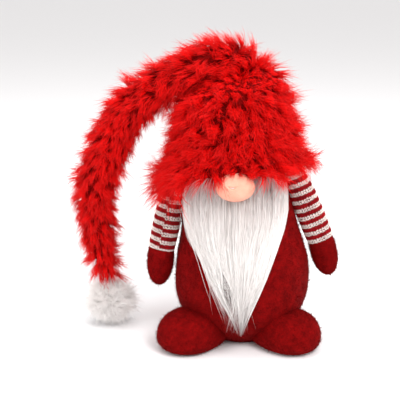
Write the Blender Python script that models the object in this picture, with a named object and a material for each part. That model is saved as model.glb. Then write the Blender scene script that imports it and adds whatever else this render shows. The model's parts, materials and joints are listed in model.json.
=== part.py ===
"""A soft tomte gnome about 0.32 m tall: a felt sack body that stands on a flat weighted base,
two splayed feet, hanging arms with knitted sleeves and felt mittens, a long straight beard, a
round nose, and a tall fur hat whose wired tail folds over and hangs down to a pompom.

Metres, +Z up. The gnome faces -Y, so its own left arm is at +X. The origin is the centre of the
base panel's resting face. Each hinge lies at the centre of the rounded ends that it joins.
"""

import math

import bmesh
import bpy
from mathutils import Vector

# Gap between pieces that touch on the real object
GAP = 0.0003
FELT = 0.0015

# Sack body: radius at each height, on an axis that leans a little towards the tail's side
BODY_PROFILE = (
    (0.0006, 0.0330), (0.005, 0.0410), (0.012, 0.0495), (0.022, 0.0590), (0.034, 0.0662),
    (0.050, 0.0710),
    (0.068, 0.0720), (0.088, 0.0698), (0.108, 0.0640), (0.128, 0.0575), (0.150, 0.0515),
    (0.172, 0.0475), (0.190, 0.0500), (0.207, 0.0525), (0.224, 0.0480), (0.238, 0.0400),
    (0.246, 0.0260), (0.249, 0.0060),
)
LEAN_X = -0.008
LEAN_FROM_Z = 0.090
LEAN_TO_Z = 0.170
SACK_SIDES = 24
# The panels' inner faces step down by this above the height where they are drawn together
TUCK_Z = 0.240
TUCK = 0.0006

# Weighted base
BOARD_R = 0.030
BOARD_T = 0.0020
BAG_R = 0.040
BAG_TOP_Z = 0.030
BAG_SHAPE = ((0.0, 0.86), (0.10, 0.97), (0.35, 1.0), (0.65, 0.97), (0.88, 0.80), (1.0, 0.45))
STUFFING_TOP_Z = 0.2375

# Feet: flat-bottomed pads whose heels tuck under the sack
FOOT_CENTRE_X = -0.004
FOOT_OUT = 0.0450
FOOT_Y = -0.0390
FOOT_HALF_LENGTH = 0.0430
FOOT_HALF_WIDTH = 0.0290
FOOT_HEIGHT = 0.0395
FOOT_SPLAY = math.radians(42)
FOOT_SIDES = 18
TOE_BREADTH = 0.10
# Share of the outline's size, and share of the height
FOOT_DOME = (
    (0.80, 0.0), (0.93, 0.09), (1.0, 0.34), (0.965, 0.58), (0.83, 0.80), (0.56, 0.95), (0.16, 1.0),
)

# Arms, each from its shoulder's centre down to the cuff and on to the mitten's tip
SHOULDER_Y = -0.008
SHOULDER_OUT = 0.0615
SHOULDERS = {"left": (1, 0.176, math.radians(22.5)), "right": (-1, 0.170, math.radians(12.0))}
SHOULDER_BALL_R = 0.009
HEM_R = 0.0075
HEM_T = 0.0030
SLEEVE_LENGTH = 0.075
MITTEN_LENGTH = 0.041
MITTEN_DROOP = math.radians(7)
# Radius at a distance below the shoulder's centre, and below the cuff
SLEEVE_PROFILE = ((0.010, 0.0118), (0.024, 0.0138), (0.045, 0.0144), (0.064, 0.0142))
CUFF_R = 0.0138
MITTEN_PROFILE = (
    (0.0, 0.0137), (0.008, 0.0140), (0.019, 0.0142), (0.029, 0.0128), (0.036, 0.0098),
    (0.040, 0.0055), (MITTEN_LENGTH, 0.0020),
)
ARM_FLATNESS = 0.86
SLEEVE_T = 0.0016
ARM_SIDES = 12

# Hat: half-width and axis of the fur's outer surface at each height
HAT_PROFILE = (
    (0.192, -0.0065, 0.0760), (0.207, -0.0080, 0.0690), (0.225, -0.0100, 0.0640),
    (0.246, -0.0130, 0.0580), (0.262, -0.0110, 0.0490), (0.276, -0.0030, 0.0345),
    (0.287, 0.0020, 0.0220), (0.293, 0.0030, 0.0070),
)
FUR_T = 0.0115
FUR_HANGS_IN = 0.003
BRIM_BACK_DROP = 0.022
HAT_HOLLOW_FROM_Z = 0.150
HAT_FILLING_FROM_Z = 0.200

# Tail: route of its middle from the fold at the top of the hat to the pompom's knot
TAIL_ROUTE = (
    (0.004, 0.000, 0.281), (-0.020, 0.000, 0.288), (-0.046, 0.000, 0.285), (-0.084, 0.002, 0.267),
    (-0.116, 0.007, 0.242), (-0.137, 0.012, 0.208), (-0.150, 0.016, 0.175), (-0.156, 0.019, 0.147),
    (-0.155, 0.020, 0.119), (-0.152, 0.021, 0.092), (-0.148, 0.022, 0.068), (-0.1435, 0.022, 0.0535),
)
TAIL_RADII = (
    (0.0, 0.0270), (0.20, 0.0240), (0.40, 0.0225), (0.66, 0.0225), (0.82, 0.0195), (1.0, 0.0135),
)
TAIL_HINGES = (0.262, 0.440, 0.630, 0.820)
HINGE_GAP = 0.0014
CAP_DEPTH = 0.72
PILE_T = 0.0085
TAIL_SIDES = 12
WIRE_R = 0.00125
WIRE_HOLE_R = 0.0035
WIRE_STARTS_AT = 0.016
FOLD_HOLLOW_FROM = 0.012

# Pompom
POMPOM_R = 0.0265
POMPOM_HALF_HEIGHT = 0.0225
FLUFF_T = 0.009
POMPOM_MOUTH_R = 0.0030
KNOT_R = 0.0034
KNOT_T = 0.0030

# Nose and beard
NOSE_CENTRE = Vector((-0.010, -0.0630, 0.1765))
NOSE_HALF = Vector((0.0195, 0.0138, 0.0145))
BEARD_EDGES = (
    (0.030, -0.007, -0.002), (0.045, -0.013, 0.0035), (0.069, -0.028, 0.0135),
    (0.097, -0.042, 0.025), (0.118, -0.054, 0.033), (0.137, -0.0575, 0.0425),
    (0.160, -0.0575, 0.0445), (0.187, -0.055, 0.0400),
)
BEARD_HEIGHTS = (0.030, 0.045, 0.057, 0.069, 0.083, 0.097, 0.108, 0.118, 0.128, 0.137, 0.150, 0.160,
                 0.166, 0.1765, 0.187)
# Below this height the hair hangs plumb, and past this share of the belly's radius it leaves the felt
PLUMB_BELOW_Z = 0.068
LIES_ON_FELT = 0.55
BEARD_T = 0.0070
BACKING_T = 0.0010
BACKING_CLEAR = 0.0012


def smoothstep(value, low, high):
    """0 below low, 1 above high, with an even ease between them."""
    t = min(max((value - low) / (high - low), 0.0), 1.0)
    return t * t * (3.0 - 2.0 * t)


def lookup(table, at, column=1):
    """The table's value in a column at a first-column position, with straight runs between rows."""
    for low, high in zip(table, table[1:]):
        if at <= high[0]:
            t = max((at - low[0]) / (high[0] - low[0]), 0.0)
            return low[column] + t * (high[column] - low[column])
    return table[-1][column]


def make_material(name, colour, roughness, metallic=0.0):
    """A Principled material with one colour."""
    material = bpy.data.materials.new(name)
    material.use_nodes = True
    shader = material.node_tree.nodes["Principled BSDF"]
    shader.inputs["Base Color"].default_value = (*colour, 1.0)
    shader.inputs["Roughness"].default_value = roughness
    shader.inputs["Metallic"].default_value = metallic
    return material


def loft(name, rings, material, closed=False):
    """Joins rings of equally many points, one after the other. A closed loft also joins its last
    ring to its first, and an open one is capped at both ends."""
    mesh = bpy.data.meshes.new(name)
    bm = bmesh.new()
    loops = [[bm.verts.new(point) for point in ring] for ring in rings]
    pairs = list(zip(loops, loops[1:]))
    if closed:
        pairs.append((loops[-1], loops[0]))
    else:
        bm.faces.new(loops[0])
        bm.faces.new(loops[-1])
    for lower, upper in pairs:
        count = len(lower)
        for i in range(count):
            j = (i + 1) % count
            bm.faces.new((lower[i], lower[j], upper[j], upper[i]))
    bmesh.ops.recalc_face_normals(bm, faces=bm.faces)
    if bm.calc_volume(signed=True) < 0.0:
        bmesh.ops.reverse_faces(bm, faces=bm.faces)
    bm.to_mesh(mesh)
    bm.free()
    mesh.shade_smooth()
    mesh.set_sharp_from_angle(angle=math.radians(50))
    item = bpy.data.objects.new(name, mesh)
    bpy.context.scene.collection.objects.link(item)
    item.data.materials.append(material)
    return item


def hide_as_cutter(item):
    """Marks an object as a cutting tool, which isn't part of the gnome."""
    item.hide_render = True
    item.display_type = "WIRE"
    return item


def combine(item, tool, operation):
    """Adds a Boolean of the tool to the object."""
    modifier = item.modifiers.new(operation.title() + "_" + tool.name, "BOOLEAN")
    modifier.operation = operation
    modifier.solver = "EXACT"
    modifier.object = tool


def round_ring(centre_x, centre_y, z, radius, sides):
    """A level circle of points."""
    turn = [2.0 * math.pi * i / sides for i in range(sides)]
    return [Vector((centre_x + radius * math.cos(a), centre_y + radius * math.sin(a), z)) for a in turn]


def hang(item, empty):
    """Parents an object to a hinge's empty without moving it."""
    item.parent = empty
    item.matrix_parent_inverse = empty.matrix_world.inverted()


def hinge_empty(name, place, parent=None):
    """An empty at a hinge's centre, which carries the pieces that turn there."""
    empty = bpy.data.objects.new(name, None)
    empty.location = place
    bpy.context.scene.collection.objects.link(empty)
    bpy.context.view_layer.update()
    if parent is not None:
        hang(empty, parent)
        bpy.context.view_layer.update()
    return empty


# ---- Sack body ----------------------------------------------------------------------------------


def body_axis_x(z):
    return LEAN_X * smoothstep(z, LEAN_FROM_Z, LEAN_TO_Z)


def body_radius(z):
    return lookup(BODY_PROFILE, z)


def body_rings(inset, low_z, high_z):
    """Rings of the sack's surface, moved inwards by inset, from one height to another."""
    heights = [low_z] + [z for z, _ in BODY_PROFILE if low_z < z < high_z] + [high_z]
    radii = [max(body_radius(z) - inset, 0.003) for z in heights]
    return [round_ring(body_axis_x(z), 0.0, z, r, SACK_SIDES) for z, r in zip(heights, radii)]


def half_panel(name, facing, material):
    """One of the two felt panels: a half shell whose C-shaped section changes with height. It
    stays open along the side seams, at the base and at the drawn-together top."""
    arc_steps = SACK_SIDES // 2
    rings = []
    for z, radius in BODY_PROFILE:
        outer, inner = [], []
        inner_z = z if z < TUCK_Z else z - TUCK
        for i in range(arc_steps + 1):
            a = math.pi * i / arc_steps
            across, depth = math.cos(a), math.sin(a) * facing
            shift = Vector((body_axis_x(z), facing * GAP / 2, 0))
            outer.append(Vector((radius * across, radius * depth, z)) + shift)
            inside = radius - FELT
            inner.append(Vector((inside * across, inside * depth, inner_z)) + shift)
        rings.append(outer + inner[::-1])
    return loft(name, rings, material)


def body(felt, wadding, card, pellets):
    """Felt panels and base, with the board, the bag of pellets and the filling inside."""
    half_panel("body_front_panel", -1, felt)
    half_panel("body_back_panel", 1, felt)
    base_r = BODY_PROFILE[0][1] - FELT - GAP
    loft("body_base_panel", [round_ring(0, 0, z, base_r, SACK_SIDES) for z in (0.0, FELT)], felt)
    board_z = FELT + GAP
    bag_z = board_z + BOARD_T + GAP
    loft("base_board", [round_ring(0, 0, z, BOARD_R, 20) for z in (board_z, board_z + BOARD_T)], card)
    bag_height = BAG_TOP_Z - bag_z
    bag = [round_ring(0, 0, bag_z + bag_height * t, BAG_R * share, 16) for t, share in BAG_SHAPE]
    loft("pellet_bag", bag, pellets)
    inset = FELT + 2 * GAP
    loft("body_stuffing", body_rings(inset, BAG_TOP_Z + GAP, STUFFING_TOP_Z), wadding)


# ---- Feet -----------------------------------------------------------------------------------------


def pad_rings(side, shrink, floor_z):
    """Rings of one foot: an egg-shaped outline, flat below and domed above."""
    centre = Vector((FOOT_CENTRE_X + side * FOOT_OUT, FOOT_Y, 0))
    along = Vector((side * math.cos(FOOT_SPLAY), -math.sin(FOOT_SPLAY), 0))
    across = Vector((-along.y, along.x, 0))
    rings = []
    low = FELT + GAP
    for share, lift in FOOT_DOME:
        height = low + (FOOT_HEIGHT - shrink - low) * lift if lift else floor_z
        ring = []
        for i in range(FOOT_SIDES):
            a = 2.0 * math.pi * i / FOOT_SIDES
            reach = (FOOT_HALF_LENGTH - shrink) * share * math.cos(a)
            toe = 1.0 + TOE_BREADTH * math.cos(a)
            breadth = (FOOT_HALF_WIDTH - shrink) * share * math.sin(a) * toe
            ring.append(centre + along * reach + across * breadth + Vector((0, 0, height)))
        rings.append(ring)
    return rings


def foot(label, side, felt, wadding):
    """Upper, sole and filling of a foot. The sack's own shape cuts the heel away."""
    floor_z = FELT + GAP
    sack = {}
    for key, clear in (("upper", 2 * GAP), ("skin", 2 * GAP + FELT), ("filling", 3 * GAP + FELT)):
        rings = body_rings(-clear, -0.004, 0.060)
        sack[key] = hide_as_cutter(loft(f"{label}_sack_{key}", rings, felt))
    upper = loft(f"{label}_upper", pad_rings(side, 0.0, floor_z), felt)
    cavity = hide_as_cutter(loft(f"{label}_cavity", pad_rings(side, FELT, -FELT), felt))
    combine(cavity, sack["skin"], "DIFFERENCE")
    combine(upper, sack["upper"], "DIFFERENCE")
    combine(upper, cavity, "DIFFERENCE")
    filling = loft(f"{label}_stuffing", pad_rings(side, FELT + GAP, floor_z + GAP), wadding)
    combine(filling, sack["filling"], "DIFFERENCE")
    outline = pad_rings(side, 0.0, 0.0)[0]
    sole = loft(f"{label}_sole", [[Vector((p.x, p.y, z)) for p in outline] for z in (0.0, FELT)], felt)
    combine(sole, sack["upper"], "DIFFERENCE")


# ---- Arms -----------------------------------------------------------------------------------------


def sweep_rings(place_at, profile, sides, flatness=1.0):
    """Rings square to a route. The profile lists (distance along the route, radius)."""
    rings = []
    for distance, radius in profile:
        centre, forward = place_at(distance)
        deep = (Vector((0, 1, 0)) - forward * forward.y).normalized()
        wide = forward.cross(deep).normalized()
        ring = []
        for i in range(sides):
            a = 2.0 * math.pi * i / sides
            out = wide * math.cos(a) + deep * (flatness * math.sin(a))
            ring.append(centre + out * radius)
        rings.append(ring)
    return rings


def arm_place(side, shoulder, tilt):
    """Where a distance down the arm lies. Past the cuff the mitten hangs a little straighter."""
    sleeve_way = Vector((side * math.sin(tilt), 0, -math.cos(tilt)))
    hand_tilt = tilt - MITTEN_DROOP
    hand_way = Vector((side * math.sin(hand_tilt), 0, -math.cos(hand_tilt)))
    cuff = shoulder + sleeve_way * SLEEVE_LENGTH

    def place_at(distance):
        past = distance - SLEEVE_LENGTH
        way = sleeve_way.lerp(hand_way, smoothstep(past, -0.008, 0.008)).normalized()
        if past <= 0:
            return shoulder + sleeve_way * distance, way
        return cuff + hand_way * past, way

    return place_at


def arm(label, felt, knit, wadding, tape):
    """Shoulder hem, knitted sleeve, mitten and filling of one arm, on its two hinges."""
    side, shoulder_z, tilt = SHOULDERS[label]
    shoulder = Vector((LEAN_X + side * SHOULDER_OUT, SHOULDER_Y, shoulder_z))
    place_at = arm_place(side, shoulder, tilt)
    swing = hinge_empty(f"arm_{label}_swing_axis", shoulder)
    lift = hinge_empty(f"arm_{label}_lift_axis", shoulder, swing)

    hem = []
    for share, r in ((0.0, 0.82), (0.25, 1.0), (0.75, 1.0), (1.0, 0.82)):
        x = shoulder.x - side * (SHOULDER_BALL_R + GAP + HEM_T * share)
        turn = [2.0 * math.pi * i / ARM_SIDES for i in range(ARM_SIDES)]
        circle = [Vector((0, math.cos(a), math.sin(a))) * (HEM_R * r) for a in turn]
        hem.append([Vector((x, shoulder.y, shoulder.z)) + point for point in circle])
    hang(loft(f"shoulder_hem_{label}", hem, tape), swing)

    # The sleeve's top is part of a ball around the shoulder's centre
    ball = tuple((-SHOULDER_BALL_R * math.sin(a), SHOULDER_BALL_R * math.cos(a))
                 for a in (math.radians(60), math.radians(42), 0.0))
    cuff = SLEEVE_LENGTH
    outer = ball + SLEEVE_PROFILE + ((cuff - GAP, CUFF_R),)
    inner = tuple((d, r - SLEEVE_T) for d, r in outer)
    sleeve = sweep_rings(place_at, outer + inner[::-1], ARM_SIDES, ARM_FLATNESS)
    hang(loft(f"sleeve_{label}", sleeve, knit, closed=True), lift)

    skin = tuple((cuff + d, r) for d, r in MITTEN_PROFILE)
    inside = tuple((cuff + d * 0.955, max(r - FELT, 0.0010)) for d, r in MITTEN_PROFILE)
    mitten = sweep_rings(place_at, skin[::-1] + inside, ARM_SIDES, ARM_FLATNESS)
    hang(loft(f"mitten_{label}", mitten, felt), lift)

    fill = ((ball[0][0] + 0.003, 0.0022),)
    fill += tuple((d, r - SLEEVE_T - 2 * GAP) for d, r in outer[1:-1])
    fill += tuple((cuff + d * 0.94, max(r - FELT - 3 * GAP, 0.0006)) for d, r in MITTEN_PROFILE)
    stuffing = sweep_rings(place_at, fill, ARM_SIDES, ARM_FLATNESS)
    hang(loft(f"arm_stuffing_{label}", stuffing, wadding), lift)


# ---- Hat and tail -----------------------------------------------------------------------------------


def route_points(per_span=12):
    """A smooth Catmull-Rom curve through the tail's route, as many short steps."""
    ends = [Vector(p) for p in TAIL_ROUTE]
    ends = [2 * ends[0] - ends[1]] + ends + [2 * ends[-1] - ends[-2]]
    points = []
    for a, b, c, d in zip(ends, ends[1:], ends[2:], ends[3:]):
        for i in range(per_span):
            t = i / per_span
            points.append(0.5 * (2 * b + (c - a) * t + (2 * a - 5 * b + 4 * c - d) * t * t
                                 + (3 * b - a - 3 * c + d) * t * t * t))
    return points + [ends[-2]]


def tail_route():
    """The tail's length, and a function giving the place and direction at a distance along it."""
    points = route_points()
    marks = [0.0]
    for a, b in zip(points, points[1:]):
        marks.append(marks[-1] + (b - a).length)

    def place_at(distance):
        last = len(points) - 2
        i = next((k for k in range(last + 1) if marks[k + 1] >= distance), last)
        way = (points[i + 1] - points[i]).normalized()
        before = (points[i] - points[i - 1]).normalized() if i else way
        after = (points[i + 2] - points[i + 1]).normalized() if i < last else way
        t = (distance - marks[i]) / (marks[i + 1] - marks[i])
        bend = before.lerp(way, 0.5 + t / 2) if t < 0.5 else way.lerp(after, t / 2)
        return points[i] + way * (distance - marks[i]), bend.normalized()

    return marks[-1], place_at


TAIL_LENGTH, TAIL_AT = tail_route()


def tail_radius(distance):
    return lookup(TAIL_RADII, distance / TAIL_LENGTH)


def rounded_profile(start, end, inset, tip_r, steps, cap_steps=3):
    """Distance and radius along a stretch of the tail whose two ends are flattened half balls. The
    radius follows the tail's, less the inset, and stops at tip_r where the wire comes out."""
    rows = []
    for at_start in (True, False):
        ball = tail_radius(start if at_start else end) - inset
        cap = []
        low = math.asin(min(tip_r / ball, 1.0))
        for i in range(cap_steps):
            a = low + (math.pi / 2 - low) * i / cap_steps
            reach = ball * CAP_DEPTH * (1.0 - math.cos(a))
            cap.append((start + reach if at_start else end - reach, ball * math.sin(a)))
        rows.append(cap)
    first = start + CAP_DEPTH * (tail_radius(start) - inset)
    last = end - CAP_DEPTH * (tail_radius(end) - inset)
    middle = []
    for i in range(steps + 1):
        at = first + (last - first) * i / steps
        middle.append((at, tail_radius(at) - inset))
    return rows[0] + middle + rows[1][::-1]


def brim_z(angle, low_z):
    """The brim hangs lower behind, where the angle from +X is 90 degrees."""
    return low_z - BRIM_BACK_DROP * max(0.0, math.sin(angle)) ** 2


def crown_rings(inset, sides=24):
    """Rings of the hat's cone, moved inwards by the inset, from the brim up."""
    rings = []
    for row, (z, axis_x, radius) in enumerate(HAT_PROFILE):
        r = max(radius - inset, 0.004)
        lift = z if row < 5 else z - inset * (row - 4) / (len(HAT_PROFILE) - 5)
        ring = round_ring(axis_x, 0.0, lift, r, sides)
        if row == 0:
            for i, point in enumerate(ring):
                point.z = brim_z(2.0 * math.pi * i / sides, z)
        rings.append(ring)
    return rings


def solid_crown(name, inset, low_z, material):
    """The hat's inside as a solid from a height up, used to clear it or to fill it."""
    rings = [ring for ring in crown_rings(inset) if ring[0].z > low_z + 0.004]
    bottom = [Vector((p.x, p.y, low_z)) for p in rings[0]]
    return loft(name, [bottom] + rings, material)


def hat(fur, wadding, wire):
    """Fur crown with its fold, the filling above the head, and the start of the tail's wire."""
    fold_end = TAIL_HINGES[0] * TAIL_LENGTH - HINGE_GAP
    brim_inside = crown_rings(FUR_T + FUR_HANGS_IN)[0]
    crown = loft("hat_fur_crown", [brim_inside] + crown_rings(0.0), fur)

    def fold(name, inset, tip_r, start, material):
        profile = rounded_profile(start, fold_end - inset, inset, tip_r, 4)
        return loft(name, sweep_rings(TAIL_AT, profile, 14), material)

    def bore(name, radius, start, end, material):
        count = 5
        profile = [(start + (end - start) * i / count, radius) for i in range(count + 1)]
        return loft(name, sweep_rings(TAIL_AT, profile, 8), material)

    outside = hide_as_cutter(fold("fold_outside", 0.0, WIRE_HOLE_R + 0.002, 0.0, fur))
    inside = hide_as_cutter(fold("fold_inside", PILE_T, WIRE_HOLE_R, FOLD_HOLLOW_FROM, fur))
    clearing = hide_as_cutter(solid_crown("crown_inside", FUR_T, HAT_HOLLOW_FROM_Z, fur))
    past_end = fold_end + WIRE_HOLE_R
    outlet = bore("wire_outlet", WIRE_HOLE_R - GAP, fold_end - 2 * PILE_T, past_end, fur)
    hide_as_cutter(outlet)
    combine(crown, outside, "UNION")
    combine(crown, clearing, "DIFFERENCE")
    combine(crown, inside, "DIFFERENCE")
    combine(crown, outlet, "DIFFERENCE")

    filling = solid_crown("hat_stuffing", FUR_T + 2 * GAP, HAT_FILLING_FROM_Z, wadding)
    in_fold = fold("fold_filling", PILE_T + GAP, WIRE_HOLE_R, FOLD_HOLLOW_FROM + 2 * GAP, wadding)
    hide_as_cutter(in_fold)
    head_top = BODY_PROFILE[-1][0] + 2 * GAP
    head_rings = body_rings(-2 * GAP, HAT_FILLING_FROM_Z - 0.010, head_top)
    head = hide_as_cutter(loft("head_clearing", head_rings, wadding))
    channel = bore("wire_channel", WIRE_R + GAP, WIRE_STARTS_AT - GAP, past_end, wadding)
    hide_as_cutter(channel)
    combine(filling, in_fold, "UNION")
    combine(filling, head, "DIFFERENCE")
    combine(filling, channel, "DIFFERENCE")
    bore("hat_wire", WIRE_R, WIRE_STARTS_AT, fold_end, wire)


def tail_segment(index, start, end, parent, fur, wadding, wire):
    """Fur sleeve, filling and wire of one stretch of the tail, carried by its hinge's empty."""
    number = index + 1
    low, high = start + HINGE_GAP, end - HINGE_GAP
    empty = hinge_empty(f"tail_{number}_axis", TAIL_AT(start)[0], parent)
    outer = rounded_profile(low, high, 0.0, WIRE_HOLE_R, 3)
    inner = rounded_profile(low + PILE_T, high - PILE_T, PILE_T, WIRE_HOLE_R, 2, 2)
    rings = sweep_rings(TAIL_AT, outer + inner[::-1], TAIL_SIDES)
    hang(loft(f"tail_{number}_fur", rings, fur, closed=True), empty)
    inset = PILE_T + GAP
    around = rounded_profile(low + inset, high - inset, inset, WIRE_HOLE_R, 2, 2)
    channel = [(distance, WIRE_R + GAP) for distance, _ in around[::-1]]
    rings = sweep_rings(TAIL_AT, around + channel, TAIL_SIDES)
    hang(loft(f"tail_{number}_stuffing", rings, wadding, closed=True), empty)
    count = 4
    profile = [(low + (high - low) * i / count, WIRE_R) for i in range(count + 1)]
    hang(loft(f"tail_{number}_wire", sweep_rings(TAIL_AT, profile, 6), wire), empty)
    return empty


def tail(fur, wadding, wire):
    """The tail's stretches, each hinged to the one before."""
    parent = None
    marks = [share * TAIL_LENGTH for share in TAIL_HINGES] + [TAIL_LENGTH]
    for index, (start, end) in enumerate(zip(marks, marks[1:])):
        parent = tail_segment(index, start, end, parent, fur, wadding, wire)
    return parent


def pompom(parent, fluff, wadding, thread):
    """A stuffed white pompom that hangs from the tail's tip by a knotted thread."""
    pivot = TAIL_AT(TAIL_LENGTH)[0]
    empty = hinge_empty("pompom_axis", pivot, parent)
    knot_top = pivot.z - 2 * GAP
    shape = ((0.0, 0.5), (0.25, 1.0), (0.75, 1.0), (1.0, 0.5))
    rings = [round_ring(pivot.x, pivot.y, knot_top - KNOT_T * t, KNOT_R * r, 12) for t, r in shape]
    hang(loft("pompom_tie", rings, thread), empty)

    centre_z = knot_top - KNOT_T - GAP - POMPOM_HALF_HEIGHT

    def ball(shrink, steps):
        low = math.asin(POMPOM_MOUTH_R / (POMPOM_R - shrink))
        rows = []
        for i in range(steps + 1):
            a = low + (math.pi - low) * i / steps
            share = max(math.sin(a), 0.06)
            z = centre_z + (POMPOM_HALF_HEIGHT - shrink) * math.cos(a)
            rows.append(round_ring(pivot.x, pivot.y, z, (POMPOM_R - shrink) * share, 16))
        return rows

    hang(loft("pompom_cover", ball(0.0, 8)[::-1] + ball(FLUFF_T, 6), fluff), empty)
    hang(loft("pompom_core", ball(FLUFF_T + GAP, 6), wadding), empty)


# ---- Face ---------------------------------------------------------------------------------------------


def nose_rings(shrink, steps, sides=16):
    """Rings of the nose from its open back, which faces +Y, to its front."""
    rings = []
    for i in range(steps + 1):
        a = math.radians(24) + (math.pi - math.radians(24)) * i / steps
        share = max(math.sin(a), 0.05)
        depth = (NOSE_HALF.y - shrink) * math.cos(a)
        ring = []
        for k in range(sides):
            turn = 2.0 * math.pi * k / sides
            x = (NOSE_HALF.x - shrink) * share * math.cos(turn)
            z = (NOSE_HALF.z - shrink) * share * math.sin(turn)
            ring.append(NOSE_CENTRE + Vector((x, depth, z)))
        rings.append(ring)
    return rings


def beard_inner_y(x, z, clear):
    """Depth of the beard's inner side: on the sack's front, then straight off at its flanks. Below
    the belly's widest height the hair hangs plumb."""
    lie_z = max(z, PLUMB_BELOW_Z)
    radius = body_radius(lie_z) + clear
    away = abs(x - body_axis_x(lie_z))
    hold = LIES_ON_FELT * radius
    if away <= hold:
        return -math.sqrt(radius * radius - away * away)
    edge = math.sqrt(radius * radius - hold * hold)
    return -(edge - (away - hold) * hold / edge)


def beard_sheet(name, heights, clear, thick, edge_share, material):
    """A sheet across the beard's width, thickest in the middle, carried up through the heights."""
    rings = []
    columns = 8
    for z in heights:
        left, right = lookup(BEARD_EDGES, z, 1), lookup(BEARD_EDGES, z, 2)
        inner, outer = [], []
        for k in range(columns + 1):
            t = k / columns
            x = left + (right - left) * t
            y = beard_inner_y(x, z, clear)
            crown = edge_share + (1.0 - edge_share) * math.sin(math.pi * t) ** 0.7
            inner.append(Vector((x, y, z)))
            outer.append(Vector((x, y - thick * crown, z)))
        rings.append(inner + outer[::-1])
    return loft(name, rings, material)


def face(skin, hair, tape, wadding):
    """Nose, and the beard's woven strip with the hair that hangs from it."""
    loft("nose_cover", nose_rings(0.0, 8)[::-1] + nose_rings(FELT, 6), skin)
    loft("nose_stuffing", nose_rings(FELT + GAP, 6), wadding)
    nose_space = hide_as_cutter(loft("nose_space", nose_rings(-2 * GAP, 8), skin))
    strip = beard_sheet("beard_backing", BEARD_HEIGHTS[-3:], BACKING_CLEAR, BACKING_T, 1.0, tape)
    combine(strip, nose_space, "DIFFERENCE")
    over_backing = BACKING_CLEAR + BACKING_T + 2 * GAP
    locks = beard_sheet("beard_hair", BEARD_HEIGHTS, over_backing, BEARD_T, 0.4, hair)
    combine(locks, nose_space, "DIFFERENCE")


for leftover in list(bpy.data.objects):
    bpy.data.objects.remove(leftover)

RED_FELT = make_material("red_felt", (0.30, 0.010, 0.010), 0.95)
RED_FUR = make_material("red_fur", (0.78, 0.010, 0.008), 0.80)
WHITE_FLUFF = make_material("white_fluff", (0.80, 0.77, 0.74), 0.95)
WHITE_HAIR = make_material("white_hair", (0.80, 0.76, 0.74), 0.55)
NOSE_FELT = make_material("nose_felt", (0.93, 0.58, 0.42), 0.90)
STRIPED_KNIT = make_material("striped_knit", (0.60, 0.28, 0.27), 0.90)
COTTON_TAPE = make_material("cotton_tape", (0.62, 0.58, 0.52), 0.85)
WADDING = make_material("polyester_wadding", (0.86, 0.86, 0.85), 0.95)
GREY_CARD = make_material("grey_card", (0.36, 0.33, 0.29), 0.85)
PELLETS = make_material("pellet_bag_cloth", (0.45, 0.42, 0.38), 0.85)
STEEL_WIRE = make_material("steel_wire", (0.45, 0.45, 0.46), 0.35, 1.0)
THREAD = make_material("white_thread", (0.75, 0.72, 0.68), 0.70)

body(RED_FELT, WADDING, GREY_CARD, PELLETS)
foot("foot_left", 1, RED_FELT, WADDING)
foot("foot_right", -1, RED_FELT, WADDING)
arm("left", RED_FELT, STRIPED_KNIT, WADDING, COTTON_TAPE)
arm("right", RED_FELT, STRIPED_KNIT, WADDING, COTTON_TAPE)
face(NOSE_FELT, WHITE_HAIR, COTTON_TAPE, WADDING)
hat(RED_FUR, WADDING, STEEL_WIRE)
pompom(tail(RED_FUR, WADDING, STEEL_WIRE), WHITE_FLUFF, WADDING, THREAD)
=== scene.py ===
"""The looks of a plush tomte gnome: felt sack and feet, knitted sleeves, mittens, beard, nose, long-pile
fur hat with a wired tail, and a pompom. Metres, +Z up; the gnome faces -Y."""

import json
import math

import bpy
import numpy as np
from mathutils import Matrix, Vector


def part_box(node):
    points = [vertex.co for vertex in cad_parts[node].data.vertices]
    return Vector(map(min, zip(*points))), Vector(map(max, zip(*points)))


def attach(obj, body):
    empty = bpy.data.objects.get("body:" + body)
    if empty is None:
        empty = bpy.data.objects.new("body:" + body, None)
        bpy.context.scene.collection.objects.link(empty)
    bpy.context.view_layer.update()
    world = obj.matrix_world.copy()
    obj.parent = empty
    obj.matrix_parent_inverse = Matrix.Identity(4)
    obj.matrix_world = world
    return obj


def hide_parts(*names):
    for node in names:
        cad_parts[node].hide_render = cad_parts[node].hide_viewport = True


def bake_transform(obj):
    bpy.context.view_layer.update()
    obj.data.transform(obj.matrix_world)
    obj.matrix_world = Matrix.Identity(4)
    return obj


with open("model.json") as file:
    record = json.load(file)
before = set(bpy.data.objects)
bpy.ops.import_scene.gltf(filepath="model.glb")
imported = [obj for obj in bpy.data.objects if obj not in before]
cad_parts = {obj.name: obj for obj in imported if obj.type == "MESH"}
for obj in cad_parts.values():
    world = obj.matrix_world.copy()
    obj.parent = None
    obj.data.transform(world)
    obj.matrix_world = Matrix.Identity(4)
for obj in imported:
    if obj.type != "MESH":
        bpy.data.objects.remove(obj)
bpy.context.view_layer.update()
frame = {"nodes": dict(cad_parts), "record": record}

# ---- Felt sack ------------------------------------------------------------------------------------
# The body is a sack of red wool felt, sewn from a front and a back panel on a round base, stuffed hard
# and weighted. Its side seams pull in a little, and the felt has a short nap of loose fibres.

SACK_LUMP = 0.0009
SEAM_PULL = 0.0011
SIDE_SWELL = 0.0060
SIDE_SWELL_Z = 0.148
SIDE_SWELL_REACH = 0.026
FELT_T = 0.0015
SACK_NAP = (9000, 0.0030)
HAT_COVERS_FROM = 0.200


def node_points(node):
    """The corners of a CAD node's mesh, as rows of x, y, z."""
    mesh = frame["nodes"][node].data
    points = np.empty(len(mesh.vertices) * 3, np.float32)
    mesh.vertices.foreach_get("co", points)
    return points.reshape(-1, 3).astype(float)


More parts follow.
